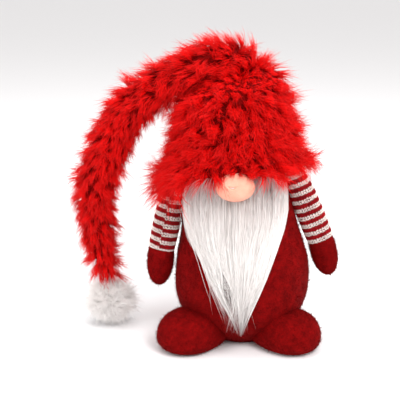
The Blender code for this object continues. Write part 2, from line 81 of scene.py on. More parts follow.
def smooth_run(at, rows, column, ease=0.006):
    """A column of rows (sorted by their first) looked up at many places, averaged over 2 * ease."""
    offsets = np.linspace(-1.0, 1.0, 7)[:, None] * ease
    weights = np.cos(np.linspace(-1.0, 1.0, 7) * 1.4)[:, None]
    looked = np.interp(np.asarray(at)[None, :] + offsets, rows[:, 0], rows[:, column])
    return (looked * weights).sum(0) / weights.sum()


def ripple(points, size, seed):
    """Soft lumps between -1 and 1: a few sine waves of about this size in random directions."""
    rng = np.random.default_rng(seed)
    total = np.zeros(len(points))
    share = 0.0
    for octave in range(2):
        ways = unit(rng.normal(size=(5, 3)))
        turns = rng.uniform(0.0, 2.0 * math.pi, 5)
        wave = np.sin(points @ ways.T * (2.0 * math.pi / size * 1.7**octave) + turns).mean(1)
        total += wave * 1.6 * 0.55**octave
        share += 0.55**octave
    return total / share


def unit(rows, tiny=0.0):
    """Vectors along the last axis, each divided by its length."""
    return rows / (np.linalg.norm(rows, axis=-1, keepdims=True) + tiny)


def surface_normals(surface, u, v):
    """Points of a two-parameter surface, and its outward unit normals from small steps in u and v."""
    step = 1e-3
    point = surface(u, v)
    along_u = surface(u + step, v) - surface(u - step, v)
    v_low, v_high = np.clip(v - step, 0.0, 1.0), np.clip(v + step, 0.0, 1.0)
    along_v = surface(u, v_high) - surface(u, v_low)
    return point, unit(np.cross(along_u, along_v), 1e-12)


def scene_object(name, data):
    """A new object in the scene, at the origin."""
    item = bpy.data.objects.new(name, data)
    bpy.context.scene.collection.objects.link(item)
    return item


def grid_piece(name, surface, columns, rows, material, span=(0.0, 1.0), ends=(False, False)):
    """A mesh over a surface's grid. A full span in u is joined round; a closed end in v becomes a pole."""
    wrap = span[1] - span[0] > 0.999
    u_steps = np.linspace(span[0], span[1], columns + 1)[: columns if wrap else columns + 1]
    v_steps = np.linspace(0.0, 1.0, rows + 1)
    u, v = np.meshgrid(u_steps, v_steps)
    wide = len(u_steps)
    points = surface(u.ravel(), v.ravel())
    i, j = np.meshgrid(np.arange(rows), np.arange(columns), indexing="ij")
    right = (j + 1) % wide
    quads = np.stack([i * wide + j, i * wide + right, (i + 1) * wide + right, (i + 1) * wide + j], -1)
    quads = quads.reshape(-1, 4)
    keep = np.ones(len(quads), bool)
    extra_points, fans = [], []
    for closed, row, flip in ((ends[0], 0, True), (ends[1], rows, False)):
        if closed:
            ring = row * wide + np.arange(wide)
            keep &= ~np.isin(quads, ring).any(1)
            inner = (1 if flip else rows - 1) * wide + np.arange(wide)
            pole = len(points) + len(extra_points)
            extra_points.append(points[ring].mean(0))
            after = np.roll(inner, -1)
            pair = (after, inner) if flip else (inner, after)
            fans.append(np.stack([pair[0], pair[1], np.full(wide, pole)], -1))
    faces = quads[keep].tolist() + [face for fan in fans for face in fan.tolist()]
    return mesh_piece(name, np.vstack([points, *extra_points]), faces, material)


def mesh_piece(name, points, faces, material):
    """An object at the origin with these points and faces, without unused points, shaded smooth."""
    used = np.zeros(len(points), bool)
    used[np.concatenate([np.asarray(f) for f in faces])] = True
    index = np.cumsum(used) - 1
    mesh = bpy.data.meshes.new(name)
    mesh.from_pydata(points[used].tolist(), [], [tuple(int(index[k]) for k in f) for f in faces])
    mesh.shade_smooth()
    mesh.materials.append(material)
    return scene_object(name, mesh)


def scatter(surface, count, rng, span=(0.0, 1.0)):
    """Random u and v on a surface, as many to each patch as its area takes."""
    cells_u, cells_v = 90, 60
    u_edge = np.linspace(span[0], span[1], cells_u + 1)
    v_edge = np.linspace(0.0, 1.0, cells_v + 1)
    u, v = np.meshgrid(u_edge, v_edge)
    corner = surface(u.ravel(), v.ravel()).reshape(cells_v + 1, cells_u + 1, 3)
    across = corner[:-1, 1:] - corner[:-1, :-1]
    up = corner[1:, :-1] - corner[:-1, :-1]
    area = np.linalg.norm(np.cross(across, up), axis=-1).ravel()
    cell = rng.choice(len(area), size=count, p=area / area.sum())
    row, column = np.divmod(cell, cells_u)
    u_at = u_edge[column] + rng.random(count) * (u_edge[1] - u_edge[0])
    v_at = v_edge[row] + rng.random(count) * (v_edge[1] - v_edge[0])
    return u_at, v_at


def strand_piece(name, paths, radii, shade, material, rng, sides=3, label="shade"):
    """Closed strands, each along its own row of points and ending in a tip. Every point keeps its share
    of the strand's length as 'along', and its strand's own number under the label."""
    count, steps, _ = paths.shape
    way = unit(np.gradient(paths, axis=1), 1e-12)
    side = unit(np.cross(way, rng.normal(size=(count, 1, 3))), 1e-12)
    other = np.cross(way, side)
    turn = 2.0 * math.pi * np.arange(sides) / sides
    ring = side[:, :-1, None] * np.cos(turn)[:, None] + other[:, :-1, None] * np.sin(turn)[:, None]
    rings = paths[:, :-1, None] + ring * radii[:, :, None, None]
    each = sides * (steps - 1) + 1
    points = np.concatenate([rings.reshape(count, -1, 3), paths[:, -1:]], axis=1)
    loops, starts, at = [], [], 0
    for k in range(steps - 2):
        for j in range(sides):
            a, b = sides * k + j, sides * k + (j + 1) % sides
            loops += [a, b, b + sides, a + sides]
            starts.append(at)
            at += 4
    for j in range(sides):
        loops += [sides * (steps - 2) + j, sides * (steps - 2) + (j + 1) % sides, each - 1]
        starts.append(at)
        at += 3
    loops += list(range(sides))[::-1]
    starts.append(at)
    at += sides
    shift = np.arange(count)[:, None]
    mesh = bpy.data.meshes.new(name)
    mesh.vertices.add(count * each)
    mesh.vertices.foreach_set("co", points.astype(np.float32).ravel())
    mesh.loops.add(count * at)
    mesh.loops.foreach_set("vertex_index", (np.array(loops)[None] + shift * each).astype(np.int32).ravel())
    mesh.polygons.add(count * len(starts))
    mesh.polygons.foreach_set("loop_start", (np.array(starts)[None] + shift * at).astype(np.int32).ravel())
    mesh.update()
    mesh.shade_smooth()
    share = np.repeat(np.linspace(0.0, 1.0, steps)[:-1], sides)
    along = np.tile(np.append(share, 1.0), count)
    for key, values in (("along", along), (label, np.repeat(shade, each))):
        attribute = mesh.attributes.new(key, "FLOAT", "POINT")
        attribute.data.foreach_set("value", values.astype(np.float32))
    mesh.materials.append(material)
    return scene_object(name, mesh)


def nap_piece(name, surface, count, length, material, seed, span=(0.0, 1.0), keep=None):
    """The felt's loose fibres: short strands that leave the surface at a slant in random directions."""
    rng = np.random.default_rng(seed)
    u, v = scatter(surface, count, rng, span)
    root, normal = surface_normals(surface, u, v)
    if keep is not None:
        chosen = keep(root)
        root, normal = root[chosen], normal[chosen]
    count = len(root)
    lean = rng.normal(size=(count, 3))
    lean -= (lean * normal).sum(1)[:, None] * normal
    way = unit(normal * rng.uniform(0.25, 0.9, (count, 1)) + lean * 0.55)
    curl = rng.normal(size=(count, 3)) * 0.35
    size = length * rng.uniform(0.5, 1.3, (count, 1))
    share = np.array([0.0, 0.5, 1.0])
    paths = root[:, None] - normal[:, None] * 0.0002
    paths = paths + way[:, None] * (size * share)[:, :, None] + curl[:, None] * (size * share**2)[:, :, None]
    paths[:, :, 2] = np.maximum(paths[:, :, 2], 0.0003)
    radii = np.full((count, 2), 0.00013) * np.array([1.0, 0.8])
    return strand_piece(name, paths, radii, rng.random(count), material, rng)


def new_material(name, roughness, sheen, specular):
    """A material with one Principled shader, whose constant values sit on its own sockets."""
    material = bpy.data.materials.new(name)
    material.use_nodes = True
    shader = material.node_tree.nodes["Principled BSDF"]
    shader.inputs["Roughness"].default_value = roughness
    shader.inputs["Sheen Weight"].default_value = sheen
    shader.inputs["Sheen Roughness"].default_value = 0.45
    shader.inputs["Specular IOR Level"].default_value = specular
    return material, shader


def shader_group(name, inputs, outputs):
    """An empty node group with these sockets; each input is (name, type, default)."""
    group = bpy.data.node_groups.new(name, "ShaderNodeTree")
    for label, kind, value in inputs:
        socket = group.interface.new_socket(label, in_out="INPUT", socket_type=kind)
        socket.default_value = value
    for label, kind in outputs:
        group.interface.new_socket(label, in_out="OUTPUT", socket_type=kind)
    return group, group.nodes.new("NodeGroupInput"), group.nodes.new("NodeGroupOutput")


def mixed_colour(tree, factor, low, high):
    """A Mix node between two colours or colour sockets, by a factor socket. Returns its colour output."""
    mix = tree.nodes.new("ShaderNodeMix")
    mix.data_type = "RGBA"
    tree.links.new(factor, mix.inputs["Factor"])
    for socket, value in ((mix.inputs["A"], low), (mix.inputs["B"], high)):
        if isinstance(value, bpy.types.NodeSocket):
            tree.links.new(value, socket)
        else:
            socket.default_value = (*value, 1.0)
    return mix.outputs["Result"]


def felt_group():
    """Felt's matted fibres. Mottle is a soft patchiness with fine flecks, and Height their relief."""
    inputs = [("Vector", "NodeSocketVector", (0, 0, 0)), ("Fibre", "NodeSocketFloat", 900.0)]
    outputs = [("Mottle", "NodeSocketFloat"), ("Height", "NodeSocketFloat")]
    group, come, go = shader_group("matted_fibres", inputs, outputs)
    patch = group.nodes.new("ShaderNodeTexNoise")
    patch.inputs["Scale"].default_value = 130.0
    patch.inputs["Detail"].default_value = 3.0
    fibre = group.nodes.new("ShaderNodeTexNoise")
    fibre.inputs["Detail"].default_value = 4.0
    fibre.inputs["Distortion"].default_value = 1.4
    group.links.new(come.outputs["Vector"], patch.inputs["Vector"])
    group.links.new(come.outputs["Vector"], fibre.inputs["Vector"])
    group.links.new(come.outputs["Fibre"], fibre.inputs["Scale"])
    blend = group.nodes.new("ShaderNodeMix")
    blend.inputs["Factor"].default_value = 0.55
    group.links.new(patch.outputs["Fac"], blend.inputs["A"])
    group.links.new(fibre.outputs["Fac"], blend.inputs["B"])
    spread = group.nodes.new("ShaderNodeMapRange")
    spread.inputs["From Min"].default_value = 0.36
    spread.inputs["From Max"].default_value = 0.64
    group.links.new(blend.outputs["Result"], spread.inputs["Value"])
    group.links.new(spread.outputs["Result"], go.inputs["Mottle"])
    group.links.new(fibre.outputs["Fac"], go.inputs["Height"])
    return group


MATTED = felt_group()


def pattern_node(tree, group, setting, value):
    """The outputs of a pattern group laid on object coordinates, with one of its settings given."""
    place = tree.nodes.new("ShaderNodeTexCoord")
    pattern = tree.nodes.new("ShaderNodeGroup")
    pattern.node_tree = group
    pattern.inputs[setting].default_value = value
    tree.links.new(place.outputs["Object"], pattern.inputs["Vector"])
    return pattern.outputs


def add_relief(tree, shader, height, distance, strength=1.0):
    """A bump from a height socket to the shader's normal."""
    bump = tree.nodes.new("ShaderNodeBump")
    bump.inputs["Distance"].default_value = distance
    bump.inputs["Strength"].default_value = strength
    tree.links.new(height, bump.inputs["Height"])
    tree.links.new(bump.outputs["Normal"], shader.inputs["Normal"])


def felt_material(name, low, high, fibre=900.0, relief=0.0006, sheen=0.0):
    """Felt between two colours, with the matted fibres' relief."""
    material, shader = new_material(name, 0.95, sheen, 0.05)
    tree = material.node_tree
    matted = pattern_node(tree, MATTED, "Fibre", fibre)
    tree.links.new(mixed_colour(tree, matted["Mottle"], low, high), shader.inputs["Base Color"])
    add_relief(tree, shader, matted["Height"], relief, 0.5)
    return material


def pile_group():
    """A strand's colour: dark at its root as painted shade, full at its middle, lighter at its tip as
    painted light, varied at random by strand.
    """
    inputs = [("Root", "NodeSocketColor", (0, 0, 0, 1)), ("Middle", "NodeSocketColor", (0, 0, 0, 1)),
              ("Tip", "NodeSocketColor", (0, 0, 0, 1)), ("Spread", "NodeSocketFloat", 0.3)]
    group, come, go = shader_group("strand_colour", inputs, [("Color", "NodeSocketColor")])
    along = group.nodes.new("ShaderNodeAttribute")
    along.attribute_name = "along"
    shade = group.nodes.new("ShaderNodeAttribute")
    shade.attribute_name = "shade"
    low = group.nodes.new("ShaderNodeMapRange")
    low.inputs["From Max"].default_value = 0.45
    high = group.nodes.new("ShaderNodeMapRange")
    high.inputs["From Min"].default_value = 0.45
    for part in (low, high):
        group.links.new(along.outputs["Fac"], part.inputs["Value"])
    body = mixed_colour(group, low.outputs["Result"], (0, 0, 0), (0, 0, 0)).node
    group.links.new(come.outputs["Root"], body.inputs["A"])
    group.links.new(come.outputs["Middle"], body.inputs["B"])
    whole = mixed_colour(group, high.outputs["Result"], body.outputs["Result"], (0, 0, 0)).node
    group.links.new(come.outputs["Tip"], whole.inputs["B"])
    dim = group.nodes.new("ShaderNodeMath")
    dim.operation = "MULTIPLY"
    group.links.new(shade.outputs["Fac"], dim.inputs[0])
    group.links.new(come.outputs["Spread"], dim.inputs[1])
    darker = mixed_colour(group, dim.outputs["Value"], whole.outputs["Result"], (0, 0, 0)).node
    group.links.new(come.outputs["Root"], darker.inputs["B"])
    group.links.new(darker.outputs["Result"], go.inputs["Color"])
    return group


STRAND_COLOUR = pile_group()


def strand_material(name, root, middle, tip, spread, roughness, specular):
    """A material for strands, from the colours of their root, middle and tip; the dark root is painted
    shade and the lighter tip painted light.
    """
    material, shader = new_material(name, roughness, 0.0, specular)
    tree = material.node_tree
    colour = tree.nodes.new("ShaderNodeGroup")
    colour.node_tree = STRAND_COLOUR
    for label, value in (("Root", root), ("Middle", middle), ("Tip", tip)):
        colour.inputs[label].default_value = (*value, 1.0)
    colour.inputs["Spread"].default_value = spread
    tree.links.new(colour.outputs["Color"], shader.inputs["Base Color"])
    return material


FELT_DARK, FELT_LIGHT = (0.085, 0.0006, 0.0008), (0.215, 0.0020, 0.0023)
red_felt = felt_material("red_felt", FELT_DARK, FELT_LIGHT)
# The nap's dark roots are painted shade and its lighter tips painted light.
red_nap = strand_material("red_felt_nap", FELT_DARK, (0.20, 0.0020, 0.0024), (0.30, 0.0045, 0.005),
                          0.5, 0.95, 0.05)

panel = node_points("body_front_panel")
levels = np.unique(panel[:, 2].round(4))
sack_rows = []
for level in levels:
    at_level = panel[np.abs(panel[:, 2] - level) < 1e-4, 0]
    sack_rows.append((level, (at_level.max() + at_level.min()) / 2, (at_level.max() - at_level.min()) / 2))
sack_rows = np.array([row for row in sack_rows if row[2] > 0.004])
sack_top = sack_rows[-1, 0]


def sack_axis(z):
    """The x of the sack's axis at a height."""
    return smooth_run(z, sack_rows, 1, 0.010)


def sack_radius(z):
    """The sack's radius at a height."""
    return smooth_run(z, sack_rows, 2, 0.005)


def sack(u, v):
    """A turned egg: radius by height on a leaning axis, with soft lumps, pulled in along both side
    seams. It swells sideways, by cos^2 of the angle, to lie against the sleeves."""
    z = sack_rows[0, 0] + (sack_top - sack_rows[0, 0]) * v
    angle = 2.0 * math.pi * u
    seam = np.exp(-((np.sin(angle) * 9.0) ** 2))
    flat = np.stack([np.cos(angle), np.sin(angle), z * 12.0], 1)
    swell = SACK_LUMP * ripple(flat * 0.05, 0.05, 3) - SEAM_PULL * seam
    sideways = np.exp(-(((z - SIDE_SWELL_Z) / SIDE_SWELL_REACH) ** 2)) * np.cos(angle) ** 2
    radius = sack_radius(z) + swell * np.minimum(z / 0.02, 1.0) + SIDE_SWELL * sideways
    return np.stack([sack_axis(z) + radius * np.cos(angle), radius * np.sin(angle), z], 1)


for side_name, sides in (("front", (0.5, 1.0)), ("back", (0.0, 0.5))):
    piece = grid_piece(f"sack_{side_name}", sack, 72, 84, red_felt, sides)
    thick = piece.modifiers.new("felt", "SOLIDIFY")
    thick.thickness = FELT_T
    thick.offset = -1.0
    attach(piece, "torso")
    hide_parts(f"body_{side_name}_panel")
    below_hat = lambda root: root[:, 2] < HAT_COVERS_FROM
    seed = 11 + len(side_name)
    nap = nap_piece(f"sack_{side_name}_nap", sack, *SACK_NAP, red_nap, seed, sides, below_hat)
    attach(nap, "torso")

# ---- Base panel, board, pellets and filling ---------------------------------------------------------
# A round felt base closes the sack. On it lie a card disc that keeps it flat and a cloth bag of pellets
# that gives the gnome its weight; loose polyester wadding fills the rest, the feet, arms, nose and hat.

red_base = felt_material("red_base_felt", (0.110, 0.0030, 0.0034), (0.200, 0.0065, 0.0070))


def finish_nodes(nodes, material):
    """Gives CAD nodes that keep their own shape a worked-out material."""
    for node in nodes:
        for slot in frame["nodes"][node].material_slots:
            slot.material = material


def weave_group():
    """A plain weave of two sets of threads. Thread is how high the upper thread stands, 0 to 1."""
    inputs = [("Vector", "NodeSocketVector", (0, 0, 0)), ("Threads", "NodeSocketFloat", 1200.0)]
    group, come, go = shader_group("plain_weave", inputs, [("Thread", "NodeSocketFloat")])
    waves = []
    for direction in ("X", "Z"):
        wave = group.nodes.new("ShaderNodeTexWave")
        wave.bands_direction = direction
        wave.inputs["Distortion"].default_value = 0.6
        group.links.new(come.outputs["Vector"], wave.inputs["Vector"])
        group.links.new(come.outputs["Threads"], wave.inputs["Scale"])
        waves.append(wave)
    top = group.nodes.new("ShaderNodeMath")
    top.operation = "MAXIMUM"
    for index, wave in enumerate(waves):
        group.links.new(wave.outputs["Fac"], top.inputs[index])
    group.links.new(top.outputs["Value"], go.inputs["Thread"])
    return group


PLAIN_WEAVE = weave_group()
WEAVE_RELIEF = 0.0002


def woven_material(name, low, high, threads):
    """Woven cloth between two colours, from the weave's own height."""
    material, shader = new_material(name, 0.9, 0.1, 0.3)
    tree = material.node_tree
    weave = pattern_node(tree, PLAIN_WEAVE, "Threads", threads)
    tree.links.new(mixed_colour(tree, weave["Thread"], low, high), shader.inputs["Base Color"])
    add_relief(tree, shader, weave["Thread"], WEAVE_RELIEF)
    return material


def fibrous_material(name, low, high, fibre, relief, roughness=0.95, metallic=0.0):
    """A stiff or fluffy stuff with the same matted look as felt, at its own scale."""
    material = felt_material(name, low, high, fibre, relief)
    shader = material.node_tree.nodes["Principled BSDF"]
    shader.inputs["Roughness"].default_value = roughness
    shader.inputs["Metallic"].default_value = metallic
    return material


wadding = fibrous_material("wadding", (0.62, 0.62, 0.60), (0.88, 0.88, 0.86), 500.0, 0.0012)
grey_card = fibrous_material("grey_card", (0.27, 0.25, 0.22), (0.42, 0.39, 0.35), 1500.0, 0.0002)
bag_cloth = woven_material("pellet_bag_cloth", (0.30, 0.28, 0.25), (0.50, 0.47, 0.42), 450.0)
finish_nodes(["body_base_panel"], red_base)
finish_nodes(["base_board"], grey_card)
finish_nodes(["pellet_bag"], bag_cloth)
finish_nodes([node for node in frame["nodes"] if "stuffing" in node], wadding)

# ---- Feet -------------------------------------------------------------------------------------------
# Each foot is a stuffed pad of the same felt: a domed upper sewn to a flat sole along a low seam. The
# heels tuck in under the sack's front and the toes splay outwards.

FOOT_SPLAY = math.radians(42)
FOOT_LENGTH, FOOT_WIDTH = 0.0435, 0.0295
TOE_BROADER = 0.17
FOOT_WIDEST = 0.36
TOE_BLUNT = 0.95
FOOT_NAP = (4200, 0.0026)


def foot_pad(label, side):
    """A foot's surface. In plan it is an egg; upright it is two quarter ovals that meet at its widest."""
    low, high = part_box(f"foot_{label}_upper")
    half_x = math.hypot(FOOT_LENGTH * math.cos(FOOT_SPLAY), FOOT_WIDTH * math.sin(FOOT_SPLAY))
    half_y = math.hypot(FOOT_LENGTH * math.sin(FOOT_SPLAY), FOOT_WIDTH * math.cos(FOOT_SPLAY))
    centre_x = high[0] - half_x if side > 0 else low[0] + half_x
    centre = np.array([centre_x, low[1] + half_y, 0.0])
    along = np.array([side * math.cos(FOOT_SPLAY), -math.sin(FOOT_SPLAY), 0.0])
    across = np.array([-along[1], along[0], 0.0])

    def surface(u, v):
        angle, climb = 2.0 * math.pi * u, math.pi * (v - 0.5)
        share = np.cos(climb) ** np.where(climb > 0, 0.50, 0.30)
        upper, lower = FOOT_WIDEST + (1 - FOOT_WIDEST) * np.sin(climb), FOOT_WIDEST * (1 + np.sin(climb))
        lift = np.where(climb > 0, upper, lower)
        seam = np.exp(-(((lift - 0.16) / 0.035) ** 2)) * 0.018
        ahead, aside = np.cos(angle), np.sin(angle)
        around = np.stack([ahead, aside, lift], 1)
        share = share * (1.0 - seam + 0.014 * ripple(around * 0.03, 0.05, 20 + side))
        blunt_x, blunt_y = (np.sign(part) * np.abs(part) ** TOE_BLUNT for part in (ahead, aside))
        reach = FOOT_LENGTH * share * blunt_x
        breadth = FOOT_WIDTH * share * blunt_y * (1.0 + TOE_BROADER * ahead)
        point = centre + along * reach[:, None] + across * breadth[:, None]
        point[:, 2] = 0.0002 + high[2] * lift
        return point

    return surface


for label, side in (("left", 1), ("right", -1)):
    surface = foot_pad(label, side)
    pad = grid_piece(f"foot_{label}_pad", surface, 72, 44, red_felt, ends=(True, True))
    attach(pad, "torso")
    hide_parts(f"foot_{label}_upper", f"foot_{label}_sole")
    above_floor = lambda root: root[:, 2] > 0.003
    nap = nap_piece(f"foot_{label}_nap", surface, *FOOT_NAP, red_nap, 31 + side, keep=above_floor)
    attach(nap, "torso")

# ---- Arms ---------------------------------------------------------------------------------------------
# A sleeve is a tube of striped stocking stitch, sewn to the sack by a taped hem under the hat. Its last
# white course meets a mitten of red felt, and wadding fills both. The right sleeve's seam is at its
# front, and its stripes don't quite meet there.

ARM_FLATNESS = 0.86
SLEEVE_ROWS = np.array([(-0.0078, 0.0045), (-0.0040, 0.0078), (0.0, 0.0090), (0.010, 0.0116),
                        (0.024, 0.0132), (0.045, 0.0138), (0.064, 0.0136), (0.075, 0.0131)])
MITTEN_ROWS = np.array([(-0.0040, 0.0110), (0.0, 0.0132), (0.008, 0.0143), (0.018, 0.0142), (0.026, 0.0129),
                        (0.033, 0.0103), (0.0380, 0.0070), (0.0402, 0.0040), (0.0410, 0.0006)])
WALES = 28
COURSE = 0.00225
YARN_R = 0.00056
YARN_LIFT = 0.0005
JOG_AT = 0.27
MITTEN_NAP = (2200, 0.0024)
CUFF_R = 0.0133

joint_place = {j["name"]: np.array(j["pos_m"]) for j in frame["record"]["behaviour"]["joints"]}
tape = woven_material("cotton_tape", (0.46, 0.42, 0.36), (0.70, 0.66, 0.60), 500.0)
finish_nodes(["shoulder_hem_left", "shoulder_hem_right"], tape)


def tube_surface(start, way, rows, swell=None):
    """A turned tube along a straight line: radius by distance, flattened from front to back."""
    deep = np.array([0.0, 1.0, 0.0]) - way * way[1]
    deep /= np.linalg.norm(deep)
    wide = np.cross(deep, way)

    def surface(u, v, out=0.0):
        angle = 2.0 * math.pi * u
        distance = rows[0, 0] + (rows[-1, 0] - rows[0, 0]) * v
        radius = np.interp(distance, rows[:, 0], rows[:, 1]) + out
        if swell is not None:
            radius = radius + swell(angle, distance)
        ring = wide * np.cos(angle)[:, None] + deep * (ARM_FLATNESS * np.sin(angle))[:, None]
        return start + way * distance[:, None] + ring * radius[:, None]

    return surface


def yarn_material():
    """Red or white yarn by the stitch's 'band', its fibres lighter and darker along it."""
    material, shader = new_material("striped_knit", 0.9, 0.0, 0.1)
    tree = material.node_tree
    band = tree.nodes.new("ShaderNodeAttribute")
    band.attribute_name = "band"
    matted = pattern_node(tree, MATTED, "Fibre", 1600.0)
    red = mixed_colour(tree, matted["Mottle"], (0.170, 0.0030, 0.0060), (0.420, 0.0090, 0.0130))
    white = mixed_colour(tree, matted["Mottle"], (0.60, 0.48, 0.44), (0.93, 0.87, 0.82))
    tree.links.new(mixed_colour(tree, band.outputs["Fac"], red, white), shader.inputs["Base Color"])
    add_relief(tree, shader, matted["Height"], 0.0004)
    return material


striped_yarn = yarn_material()
# A dark tube under the stitches: painted shade in the gaps between them.
knit_shadow = felt_material("knit_gap_shade", (0.050, 0.0020, 0.0025), (0.090, 0.0040, 0.0050), 1200.0)


def stitches(surface, rows, jog, rng):
    """Every stitch is a V of two yarn legs. Along a leg the yarn runs down the sleeve and away from the
    V's middle, and stands highest halfway. Returns the legs' paths and each one's stripe."""
    length = rows[-1, 0] - rows[0, 0]
    courses = int(length / COURSE)
    numbers = np.meshgrid(range(courses), range(WALES), (-1, 1), indexing="ij")
    course, wale, leg = (number.ravel() for number in numbers)
    share = np.linspace(0.0, 1.0, 5)
    from_cuff = courses - 1 - course
    if jog:
        past_jog, last_quarter = (wale + 0.5) / WALES > jog, wale / WALES > 0.75
        from_cuff = from_cuff + np.where(past_jog, 1, 0) + np.where(last_quarter, -1, 0)
    white = ((from_cuff // 2) % 2 == 0).astype(float)
    around = (wale[:, None] + 0.5 + leg[:, None] * (0.40 - 0.28 * share)) / WALES
    down = (course[:, None] + 1.15 * share - 0.08) * COURSE + rng.normal(0.0, 0.00026, (len(course), 1))
    down = length - (courses * COURSE - down)
    lift = YARN_LIFT * np.sin(math.pi * share)[None] - 0.0002 - 0.0001 * white[:, None]
    paths = surface(around.ravel(), np.clip(down / length, 0, 1).ravel(), lift.ravel())
    return paths.reshape(len(course), 5, 3), white


for label, side in (("left", 1), ("right", -1)):
    shoulder = joint_place[f"arm_{label}_lift"]
    hand = np.unique(node_points(f"mitten_{label}").round(5), axis=0)
    hand = hand[np.argsort(np.linalg.norm(hand - shoulder, axis=1))]
    cuff, tip = hand[:24].mean(0), hand[-12:].mean(0)
    sleeve_way = (cuff - shoulder) / np.linalg.norm(cuff - shoulder)
    surface = tube_surface(shoulder, sleeve_way, SLEEVE_ROWS)
    # Under the stitches lies the dark tube of painted shade.
    inner = grid_piece(f"sleeve_{label}_stitch_gap_shade", surface, 40, 40, knit_shadow, ends=(True, False))
    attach(inner, f"arm_{label}")
    rng = np.random.default_rng(41 + side)
    paths, bands = stitches(surface, SLEEVE_ROWS, JOG_AT if side < 0 else 0.0, rng)
    radii = np.full((len(paths), 4), YARN_R) * np.array([0.75, 1.0, 1.0, 0.8])
    knit = strand_piece(f"sleeve_{label}_knit", paths, radii, bands, striped_yarn, rng, 5, "band")
    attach(knit, f"arm_{label}")
    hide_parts(f"sleeve_{label}")

    hand_way = (tip - cuff) / np.linalg.norm(tip - cuff)

    def mitten_swell(angle, distance):
        """Gathers under the cuff, and a seam pulled in along both edges."""
        gather = 0.00022 * np.cos(13.0 * angle) * np.clip(1.0 - distance / 0.014, 0.0, 1.0)
        seam = np.exp(-((np.sin(angle) * 7.0) ** 2)) * np.clip(distance / 0.010, 0.0, 1.0)
        return gather - 0.0006 * seam

    surface = tube_surface(cuff, hand_way, MITTEN_ROWS, swell=mitten_swell)
    mitten = grid_piece(f"mitten_{label}_pad", surface, 56, 44, red_felt, ends=(True, True))
    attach(mitten, f"arm_{label}")
    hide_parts(f"mitten_{label}")
    outside = lambda root: np.linalg.norm(root - cuff, axis=1) > CUFF_R
    nap = nap_piece(f"mitten_{label}_nap", surface, *MITTEN_NAP, red_nap, 51 + side, keep=outside)
    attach(nap, f"arm_{label}")

# ---- Nose ---------------------------------------------------------------------------------------------
# A small ball of skin-coloured felt, gathered at its back around wadding and sewn over the beard's top
# under the brim. A short bent crease crosses its front where the felt was pinched.

CREASE_AT = np.array([-0.16, 0.12])
CREASE_DEPTH = 0.0034
NOSE_NAP = (2500, 0.0010)

nose_low, nose_high = (np.array(c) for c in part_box("nose_cover"))
nose_centre, nose_half = (nose_low + nose_high) / 2, (nose_high - nose_low) / 2
nose_felt = felt_material("nose_felt", (0.73, 0.31, 0.22), (0.88, 0.41, 0.30), 1100.0, 0.0003, 0.15)
# The nose nap's darker roots are painted shade and its lighter tips painted light.
nose_nap = strand_material("nose_nap", (0.80, 0.38, 0.27), (0.90, 0.46, 0.35), (0.95, 0.55, 0.44),
                           0.2, 0.9, 0.1)


def nose(u, v):
    """An egg lying across the face. The crease is a bent groove that fades at its ends."""
    angle, climb = 2.0 * math.pi * u, math.pi * v
    way = np.stack([np.sin(climb) * np.cos(angle), np.cos(climb), np.sin(climb) * np.sin(angle)], 1)
    across = way[:, 0] - CREASE_AT[0]
    above = way[:, 2] - CREASE_AT[1] - 2.2 * across**2
    groove = np.exp(-((above / 0.060) ** 2) - (across / 0.17) ** 2) * (way[:, 1] < 0)
    out = 1.0 + 0.012 * ripple(way * 0.02, 0.03, 61)
    dent = np.stack([groove * 0, groove * CREASE_DEPTH, groove * 0], 1)
    return nose_centre + way * nose_half * out[:, None] + dent


ball = grid_piece("nose_ball", nose, 96, 72, nose_felt, ends=(True, True))
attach(ball, "torso")
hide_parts("nose_cover")
nap = nap_piece("nose_nap", nose, *NOSE_NAP, nose_nap, 62, keep=lambda root: root[:, 1] < nose_centre[1])
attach(nap, "torso")

# ---- Beard --------------------------------------------------------------------------------------------
# Long straight white fake fur, cut as a triangle, whose knitted strip is sewn under the nose. The hair
# hangs in loose locks that draw together to a point in front of the base.

BEARD_ROWS = np.array([(0.022, -0.0045, -0.0030), (0.032, -0.0085, -0.0005), (0.045, -0.0140, 0.0045),
                       (0.069, -0.0290, 0.0140), (0.097, -0.0435, 0.0260), (0.118, -0.0560, 0.0350),
                       (0.137, -0.0615, 0.0440), (0.160, -0.0620, 0.0450), (0.190, -0.0560, 0.0420)])
BEARD_DEEP = 0.0085
HAIR_OFF_FELT = 0.0032
HAIR_LIES_TO = 0.55
BEARD_STRANDS = 5200
BEARD_POINTS = 9
LOCKS = 54
SLIT_T = 0.30
SLIT_TOP = 0.092
SLIT_WIDTH = 0.150
RAGGED = 0.040

# The beard's darker grey roots are painted shade under the hair, and its lighter tips painted light.
hair_white = strand_material("beard_hair", (0.66, 0.60, 0.58), (0.90, 0.87, 0.85), (0.94, 0.91, 0.89),
                             0.34, 0.46, 0.3)
finish_nodes(["beard_backing"], tape)


def beard_bed(x, z):
    """How far forward the hair's underside lies: on the sack in the middle, straight off at its sides."""
    lie = np.maximum(z, 0.068)
    radius = sack_radius(lie) + HAIR_OFF_FELT
    away = np.abs(x - sack_axis(lie))
    hold = HAIR_LIES_TO * radius
    on_felt = np.sqrt(np.maximum(radius**2 - away**2, 1e-9))
    edge = np.sqrt(radius**2 - hold**2)
    return -np.where(away <= hold, on_felt, edge - (away - hold) * hold / edge)


def beard_place(t, z, depth):
    """A place in the beard: t across from its left edge to its right, and depth out from the felt."""
    left, right = smooth_run(z, BEARD_ROWS, 1, 0.008), smooth_run(z, BEARD_ROWS, 2, 0.008)
    x = left + (right - left) * t
    crown = 0.35 + 0.65 * np.sin(math.pi * np.clip(t, 0.0, 1.0)) ** 0.7
    thin = np.clip((z - 0.015) / 0.06, 0.35, 1.0)
    return np.stack([x, beard_bed(x, z) - BEARD_DEEP * depth * crown * thin, z], -1)


def slit_open(z):
    """How far the parting left of the point is open at a height: from 0 at its top to 1."""
    return np.clip((SLIT_TOP - z) / 0.030, 0.0, 1.0) ** 0.8


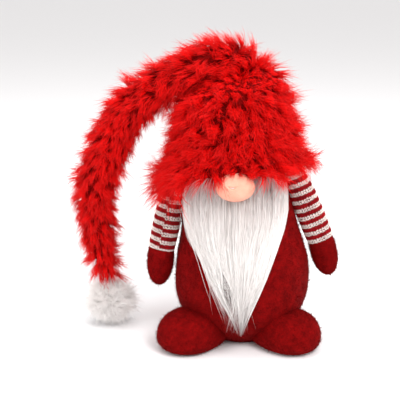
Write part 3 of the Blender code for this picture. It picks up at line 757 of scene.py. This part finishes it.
def under_hair(u, v):
    """The beard's inner layer, whose locks stand out as ridges that narrow towards the point."""
    z = 0.082 + 0.105 * v
    ridge = 0.22 + 0.10 * np.sin(u * 60.0) + 0.06 * np.sin(u * 143.0 + 2.0)
    return beard_place(0.03 + 0.94 * u, z, ridge)


# This layer has no 'along' or 'shade', so it takes the hair's root colour: painted shade under the locks.
bed = grid_piece("beard_inner_hair", under_hair, 120, 60, hair_white, (0.0, 0.999))
thick = bed.modifiers.new("layer", "SOLIDIFY")
thick.thickness = 0.0008
thick.offset = 0.0
rng = np.random.default_rng(71)
lock_t = (np.arange(LOCKS) + rng.uniform(0.15, 0.85, LOCKS)) / LOCKS
lock = rng.integers(0, LOCKS, BEARD_STRANDS)
t_root = np.clip(lock_t[lock] + rng.normal(0.0, 0.016, BEARD_STRANDS), 0.0, 1.0)
z_root = 0.188 - 0.040 * rng.random(BEARD_STRANDS) ** 2.2
middle = 1.0 - np.abs(2.0 * t_root - 1.0)
lock_low = np.random.default_rng(72).random(LOCKS)
z_end = 0.024 + 0.075 * (0.65 * lock_low[lock] + 0.35 * rng.random(BEARD_STRANDS)) ** 1.5 * (1.25 - middle)
z_end = z_end + RAGGED * np.clip((0.42 - t_root) / 0.2, 0.0, 1.0) * lock_low[lock]
share = np.linspace(0.0, 1.0, BEARD_POINTS)[None]
z = z_root[:, None] + (z_end - z_root)[:, None] * share
draw = 0.80 * share**1.4
t = t_root[:, None] * (1.0 - draw) + lock_t[lock][:, None] * draw
wave = np.sin(share * rng.uniform(2.5, 6.0, (BEARD_STRANDS, 1)) + rng.uniform(0.0, 6.0, (BEARD_STRANDS, 1)))
lock_wave = np.sin(share * 3.6 + (lock_t[lock] * 37.0)[:, None])
t = t + (0.010 * wave + 0.020 * lock_wave) * share + rng.normal(0.0, 0.010, (BEARD_STRANDS, 1)) * share
parted = SLIT_T + np.sign(t - SLIT_T) * np.maximum(np.abs(t - SLIT_T), SLIT_WIDTH * slit_open(z))
t = np.where(z < SLIT_TOP, parted, t)
depth = rng.random((BEARD_STRANDS, 1)) * 0.55 + 0.30 + 0.24 * lock_low[lock][:, None] + 0.10 * lock_wave
paths = beard_place(t.ravel(), z.ravel(), depth.ravel()).reshape(BEARD_STRANDS, BEARD_POINTS, 3)
stray = rng.random(BEARD_STRANDS) < 0.07
flick = rng.normal(0.0, 1.0, (BEARD_STRANDS, 3)) * np.array([0.006, 0.003, 0.0]) * stray[:, None]
flick[:, 0] = np.where(t_root > 0.5, -np.abs(flick[:, 0]), flick[:, 0])
paths = paths + flick[:, None] * (share**2)[:, :, None]
thin_out = np.array([0.9, 1.0, 1.0, 1.0, 0.95, 0.85, 0.7, 0.5])
radii = rng.uniform(0.00014, 0.00024, (BEARD_STRANDS, 1)) * thin_out
tone = 0.5 * lock_low[lock] + 0.5 * rng.random(BEARD_STRANDS)
locks = strand_piece("beard_locks", paths, radii, tone, hair_white, rng)
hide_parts("beard_hair")
for piece in (bed, locks):
    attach(piece, "torso")

# ---- Hat crown ----------------------------------------------------------------------------------------
# A cone of long-pile red fake fur over a knitted ground, filled above the head and pulled down over the
# face. Its pile is about 22 mm long, combed down and ruffled into tufts, and hangs past the brim.

HAT_ROWS = np.array([(0.187, -0.0065, 0.0660), (0.207, -0.0075, 0.0590), (0.225, -0.0090, 0.0545),
                     (0.246, -0.0105, 0.0500), (0.262, -0.0070, 0.0435), (0.276, 0.0010, 0.0310),
                     (0.284, 0.0050, 0.0180), (0.287, 0.0060, 0.0004)])
BRIM_DROP_BEHIND = 0.022
BRIM_DROP_RIGHT = 0.027
PILE_LENGTH = 0.0225
STRAND_R = 0.00027
PER_TUFT = 22
CROWN_STRANDS = 32400
NOSE_CLEARING = 0.021
HEM_LONGER, HEM_LONGER_RIGHT = 0.50, 0.22
SHORTER_OVER_NOSE, SHORTER_IN_FOLD = 0.55, 0.75
TAIL_ROOT_GAP = 0.0135
PILE_ROOM = np.array([0.015, 0.012, 0.017])
FOLD_REACH = 0.0080
FOLD_FROM, FOLD_TO = np.array([-0.074, 0.2585]), np.array([0.036, 0.2800])

# The fur's ground is dark: painted shade between the tufts, which shows where the pile parts and in the
# fold.
fur_ground = felt_material("fur_ground", (0.100, 0.0010, 0.0010), (0.180, 0.0020, 0.0020), 700.0)
# The fur's dark roots are painted shade between the tufts, and its bright tips painted light.
red_fur = strand_material("red_fur", (0.300, 0.0004, 0.0004), (0.900, 0.0016, 0.0012),
                          (1.000, 0.0060, 0.0040), 0.42, 0.50, 0.16)

fur_nodes = [node for node in frame["nodes"] if node.endswith("_fur") or node == "hat_fur_crown"]
hat_boxes = np.array([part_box(node) for node in fur_nodes])
hat_room = np.array([hat_boxes[:, 0].min(0), hat_boxes[:, 1].max(0)])
hat_marks = np.append(0.0, np.cumsum(np.linalg.norm(np.diff(HAT_ROWS[:, [0, 2]], axis=0), axis=1)))
hat_by_share = np.column_stack([hat_marks / hat_marks[-1], HAT_ROWS])


def crown(u, v):
    """A leaning cone with a round top: height, axis and radius by its share up the side. The brim dips
    behind and over the right arm."""
    angle = 2.0 * math.pi * u
    z, axis, radius = (smooth_run(v, hat_by_share, column, 0.03) for column in (1, 2, 3))
    radius = radius * np.where(v > 0.999, 0.02, 1.0)
    behind, right = np.maximum(np.sin(angle), 0.0), np.maximum(-np.cos(angle), 0.0)
    dip = BRIM_DROP_BEHIND * behind**2 + BRIM_DROP_RIGHT * right**3
    fade = np.clip(1.0 - v / 0.30, 0.0, 1.0) ** 2
    radius = radius * (1.0 + 0.10 * fade * right)
    return np.stack([axis + radius * np.cos(angle), radius * np.sin(angle), z - dip * fade], 1)


def combed_flat(paths):
    """Pile pressed in where it stands far out: past a side of the hat's room it goes on as
    depth * tanh(distance / depth)."""
    low, high = hat_room[0], hat_room[1]
    over, under = np.maximum(paths - high, 0.0), np.maximum(low - paths, 0.0)
    held = np.clip(paths, low, high)
    return held + PILE_ROOM * (np.tanh(over / PILE_ROOM) - np.tanh(under / PILE_ROOM))


def tuft_paths(root, normal, comb, length, rng, converge=0.62, loose=0.16):
    """Strands in tufts. A tuft's lead leaves the ground at a slant and turns over as it goes: its place
    is length * (start * s + (end - start) * s^2 / 2). Its neighbours copy it and draw together to its
    tip, each with a little way of its own."""
    count = len(root)
    leads = rng.choice(count, size=max(count // PER_TUFT, 1), replace=False)
    nearest = np.empty(count, int)
    for part in np.array_split(np.arange(count), max(count // 2000, 1)):
        gap = ((root[part, None] - root[None, leads]) ** 2).sum(2)
        nearest[part] = gap.argmin(1)
    ruffle = rng.normal(size=(len(leads), 3))
    start = unit(normal[leads] * 0.80 + comb[leads] * 0.45 + ruffle * 0.30)
    end = normal[leads] * 0.22 + comb[leads] * 0.95 + ruffle * 0.38
    end = unit(end + rng.normal(size=(len(leads), 3)) * 0.25)
    lead_length = rng.uniform(0.78, 1.18, len(leads))
    lead_tone = rng.random(len(leads))
    own = rng.normal(size=(count, 3)) * loose
    size = length * lead_length[nearest] * rng.uniform(0.80, 1.12, count)
    stray = rng.random(count) < 0.035
    size = size * np.where(stray, 1.35, 1.0)
    share = np.linspace(0.0, 1.0, 4)
    first = start[nearest] + own * 0.6
    last = end[nearest] + own * 1.3
    bend = first[:, None] * share[:, None] + (last - first)[:, None] * (share**2 / 2)[:, None]
    pull = converge * np.where(stray, 0.2, 1.0)
    toward = (root - root[leads][nearest])[:, None] * (pull[:, None] * share**1.3)[:, :, None]
    paths = root[:, None] - normal[:, None] * 0.0006 + bend * size[:, None, None] - toward
    tone = 0.55 * lead_tone[nearest] + 0.45 * rng.random(count)
    radii = STRAND_R * rng.uniform(0.7, 1.15, (count, 1)) * np.where(stray, 0.6, 1.0)[:, None]
    return paths, radii * np.array([0.9, 1.0, 0.62]), tone


def down_the_surface(normal):
    """The way down along a surface, from its normals."""
    down = np.array([0.0, 0.0, -1.0]) + normal * normal[:, 2:3]
    return unit(down, 0.15)


TAIL_ROUTE = np.array([(0.010, 0.000, 0.277), (-0.020, 0.000, 0.288), (-0.046, 0.000, 0.285),
                       (-0.084, 0.002, 0.267), (-0.116, 0.007, 0.242), (-0.137, 0.012, 0.208),
                       (-0.150, 0.016, 0.175), (-0.156, 0.019, 0.147), (-0.155, 0.020, 0.119),
                       (-0.152, 0.021, 0.092), (-0.148, 0.022, 0.068), (-0.1435, 0.022, 0.0535)])
TAIL_ROWS = np.array([(0.0, 0.0010), (0.006, 0.0095), (0.018, 0.0155), (0.040, 0.0190), (0.10, 0.0188),
                      (0.20, 0.0165), (0.40, 0.0147), (0.66, 0.0147), (0.82, 0.0120), (0.95, 0.0080),
                      (1.0, 0.0030)])


def smooth_route(places, steps=24):
    """A Catmull-Rom curve through the places, as many points, with each one's share of its length."""
    ends = np.vstack([2 * places[0] - places[1], places, 2 * places[-1] - places[-2]])
    a, b, c, d = ends[:-3, None], ends[1:-2, None], ends[2:-1, None], ends[3:, None]
    t = (np.arange(steps) / steps)[None, :, None]
    curve = 0.5 * (2 * b + (c - a) * t + (2 * a - 5 * b + 4 * c - d) * t**2 + (3 * b - a - 3 * c + d) * t**3)
    curve = np.vstack([curve.reshape(-1, 3), places[-1:]])
    marks = np.append(0.0, np.cumsum(np.linalg.norm(np.diff(curve, axis=0), axis=1)))
    return curve, marks / marks[-1]


tail_curve, tail_marks = smooth_route(TAIL_ROUTE)
tail_way = unit(np.gradient(tail_curve, tail_marks, axis=0))


def along_tail(share):
    """Place and direction at a share of the tail's length."""
    place = np.stack([np.interp(share, tail_marks, tail_curve[:, k]) for k in range(3)], 1)
    way = np.stack([np.interp(share, tail_marks, tail_way[:, k]) for k in range(3)], 1)
    return place, unit(way)


def clear_of_tail(root):
    """Whether a place on the crown lies outside the tail's thick root."""
    place, _ = along_tail(np.linspace(0.07, 0.25, 30))
    gap = np.sqrt(((root[:, None] - place[None]) ** 2).sum(2)).min(1)
    return gap > TAIL_ROOT_GAP


ground = grid_piece("hat_crown_ground", crown, 96, 48, fur_ground, ends=(False, True))
thick = ground.modifiers.new("ground", "SOLIDIFY")
thick.thickness = 0.0012
thick.offset = -1.0
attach(ground, "torso")
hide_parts("hat_fur_crown")
rng = np.random.default_rng(81)
u, v = scatter(crown, CROWN_STRANDS, rng)
root, normal = surface_normals(crown, u, v)
outside = clear_of_tail(root)
u, v, root, normal = u[outside], v[outside], root[outside], normal[outside]
angle = 2.0 * math.pi * u
from_nose = np.hypot(root[:, 0] - nose_centre[0], root[:, 2] - 0.190) / NOSE_CLEARING
over_nose = np.exp(-(from_nose**4)) * (root[:, 1] < 0)
hem = np.clip(1.0 - v / 0.16, 0.0, 1.0)
longer = 1.0 + hem * (HEM_LONGER + HEM_LONGER_RIGHT * np.maximum(-np.cos(angle), 0.0))
longer = longer * (1.0 - SHORTER_OVER_NOSE * over_nose)
# Along the fold under the tail's root the pile is shorter, so the dark ground shows as painted shade in the
# crease; the strands' tone there is lowered too, which takes away their random darkening.
fold = FOLD_TO - FOLD_FROM
off_fold = (root[:, 0] - FOLD_FROM[0]) * fold[1] - (root[:, 2] - FOLD_FROM[1]) * fold[0]
in_fold = np.exp(-((off_fold / np.linalg.norm(fold) / FOLD_REACH) ** 2)) * (root[:, 1] < 0)
longer = longer * (1.0 - SHORTER_IN_FOLD * in_fold)
paths, radii, tone = tuft_paths(root, normal, down_the_surface(normal), PILE_LENGTH * longer, rng)
tone = tone * (1.0 - in_fold)
paths = combed_flat(paths)
for index in range(3):
    part = (u * 3).astype(int) == index
    fur = strand_piece(f"hat_crown_fur_{index + 1}", paths[part], radii[part], tone[part], red_fur, rng)
    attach(fur, "torso")

# ---- Hat tail -------------------------------------------------------------------------------------------
# The cone's long end is a fur tube with a bendable wire in its wadding. It folds over at the top and
# hangs in a hook to one side; the tube is made in parts that meet between the wire's bends.

TAIL_STRANDS = 21000
FIRST_SHARE, OTHER_SHARE = 0.34, 0.22

steel = fibrous_material("steel_wire", (0.40, 0.40, 0.41), (0.55, 0.55, 0.56), 2500.0, 0.00005, 0.35, 1.0)
finish_nodes([node for node in frame["nodes"] if node.endswith("_wire")], steel)
bends = ("tail_turn", "tail_bend_upper", "tail_bend_middle", "tail_bend_lower")
bend_share = [tail_marks[np.argmin(np.linalg.norm(tail_curve - joint_place[j], axis=1))] for j in bends]
edges = [0.0] + [(a + b) / 2 for a, b in zip(bend_share, bend_share[1:])] + [1.0]


def tail_tube(low, high):
    """A tube along part of the tail's route, square to it, with the radius by share of its length."""

    def surface(u, v):
        share = low + (high - low) * v
        place, way = along_tail(share)
        deep = unit(np.array([0.0, 1.0, 0.0]) - way * way[:, 1:2])
        wide = np.cross(deep, way)
        angle = 2.0 * math.pi * u
        radius = np.interp(share, TAIL_ROWS[:, 0], TAIL_ROWS[:, 1])
        return place + (wide * np.cos(angle)[:, None] + deep * np.sin(angle)[:, None]) * radius[:, None]

    return surface


def outside_crown(root):
    """Whether a place on the tail lies outside the crown's cone."""
    radius = np.interp(root[:, 2], HAT_ROWS[:, 0], HAT_ROWS[:, 2], right=0.0)
    axis = np.interp(root[:, 2], HAT_ROWS[:, 0], HAT_ROWS[:, 1])
    return np.hypot(root[:, 0] - axis, root[:, 1]) > radius - 0.002


for index, (low, high) in enumerate(zip(edges, edges[1:])):
    surface = tail_tube(low, high)
    first, last = index == 0, index == len(bends) - 1
    ground = grid_piece(f"tail_{index + 1}_ground", surface, 40, 36, fur_ground, ends=(first, last))
    rng = np.random.default_rng(90 + index)
    count = int(TAIL_STRANDS * (FIRST_SHARE if first else OTHER_SHARE))
    u, v = scatter(surface, count, rng)
    root, normal = surface_normals(surface, u, v)
    keep = outside_crown(root)
    u, v, root, normal = u[keep], v[keep], root[keep], normal[keep]
    _, way = along_tail(low + (high - low) * v)
    comb = way * 0.85 + down_the_surface(normal) * 0.35
    shorter = np.interp(low + (high - low) * v, [0.0, 0.3, 0.85, 1.0], [1.0, 0.86, 0.84, 0.90])
    paths, radii, tone = tuft_paths(root, normal, comb, PILE_LENGTH * shorter, rng)
    paths = combed_flat(paths)
    fur = strand_piece(f"tail_{index + 1}_pile", paths, radii, tone, red_fur, rng)
    place, way = along_tail(np.array([bend_share[index]]))
    for piece in (ground, fur):
        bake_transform(piece)
    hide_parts(f"tail_{index + 1}_fur")

# ---- Pompom ---------------------------------------------------------------------------------------------
# A ball of white fluff around a wadding core, tied to the tail's tip with a knotted thread. The fluff
# stands out evenly and sags a little.

FLUFF_STRANDS = 12000
FLUFF_LENGTH = 0.0120

pom_low, pom_high = (np.array(c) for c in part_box("pompom_cover"))
pom_centre, pom_half = (pom_low + pom_high) / 2, (pom_high - pom_low) / 2
# The fluff's slightly darker roots are painted shade and its lighter tips painted light.
fluff = strand_material("white_fluff", (0.96, 0.91, 0.89), (0.99, 0.95, 0.93), (0.99, 0.97, 0.95),
                        0.04, 0.9, 0.1)
fluff_ground = felt_material("fluff_ground", (0.84, 0.80, 0.77), (0.92, 0.89, 0.86), 600.0)
thread = woven_material("white_thread", (0.60, 0.57, 0.53), (0.84, 0.82, 0.78), 700.0)
finish_nodes(["pompom_core"], wadding)
finish_nodes(["pompom_tie"], thread)


def pom_ground(u, v):
    """A slightly flattened ball."""
    angle, climb = 2.0 * math.pi * u, math.pi * v
    way = np.stack([np.sin(climb) * np.cos(angle), np.sin(climb) * np.sin(angle), -np.cos(climb)], 1)
    return pom_centre + way * (pom_half - FLUFF_LENGTH * 0.72)


pom = grid_piece("pompom_ground", pom_ground, 40, 28, fluff_ground, ends=(True, True))
rng = np.random.default_rng(99)
u, v = scatter(pom_ground, FLUFF_STRANDS, rng)
root, normal = surface_normals(pom_ground, u, v)
paths, radii, tone = tuft_paths(root, normal, down_the_surface(normal) * 0.15, FLUFF_LENGTH, rng, 0.16, 0.42)
paths[:, :, 2] = np.maximum(paths[:, :, 2], 0.0006)
pile = strand_piece("pompom_fluff", paths, radii * 0.8, tone, fluff, rng)
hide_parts("pompom_cover")
for piece in (pom, pile):
    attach(piece, "pompom")

# ---- Floor, light and camera ------------------------------------------------------------------------
# A pale seamless table under soft, even studio light, seen from a little above.

FLOOR_SIZE = 40.0
CAMERA_AWAY = 1.0
CAMERA_RISE = math.radians(15)
AIM = np.array([-0.0445, 0.0, 0.1465])
VIEW_WIDTH = 0.42
LIGHT_AIM = (-0.04, 0.0, 0.15)


def make_floor():
    """A pale table, wide enough to reach past every view."""
    half = FLOOR_SIZE / 2
    corners = np.array([[-half, -half, 0], [half, -half, 0], [half, half, 0], [-half, half, 0]], float)
    material, shader = new_material("pale_table", 0.8, 0.0, 0.2)
    shader.inputs["Base Color"].default_value = (0.86, 0.85, 0.855, 1.0)
    floor = mesh_piece("floor", corners, [(0, 1, 2, 3)], material)


def area_light(name, place, size, power):
    """A square soft box that faces the gnome."""
    lamp = bpy.data.lights.new(name, "AREA")
    lamp.size = size
    lamp.energy = power
    item = scene_object(name, lamp)
    way = np.array(LIGHT_AIM) - np.array(place)
    item.location = place
    item.rotation_euler = Vector(way).to_track_quat("-Z", "Y").to_euler()


def make_camera():
    """A camera in front of the gnome and a little above, looking down at its middle."""
    lens = bpy.data.cameras.new("camera")
    lens.sensor_width = 36.0
    lens.lens = lens.sensor_width * CAMERA_AWAY / VIEW_WIDTH
    camera = scene_object("camera", lens)
    away = np.array([0.0, -math.cos(CAMERA_RISE), math.sin(CAMERA_RISE)]) * CAMERA_AWAY
    camera.location = AIM + away
    camera.rotation_euler = (math.pi / 2 - CAMERA_RISE, 0.0, 0.0)
    bpy.context.scene.camera = camera


make_floor()
make_camera()
area_light("key_light", (0.7, -1.1, 1.3), 0.9, 26.0)
area_light("fill_light", (-1.2, -0.8, 0.8), 1.2, 9.0)
area_light("top_light", (-0.1, 0.3, 1.6), 1.2, 12.0)
world = bpy.data.worlds.new("studio")
world.use_nodes = True
world.node_tree.nodes["Background"].inputs["Color"].default_value = (1.0, 0.99, 0.985, 1.0)
world.node_tree.nodes["Background"].inputs["Strength"].default_value = 0.92
bpy.context.scene.world = world
bpy.context.scene.view_settings.view_transform = "Standard"
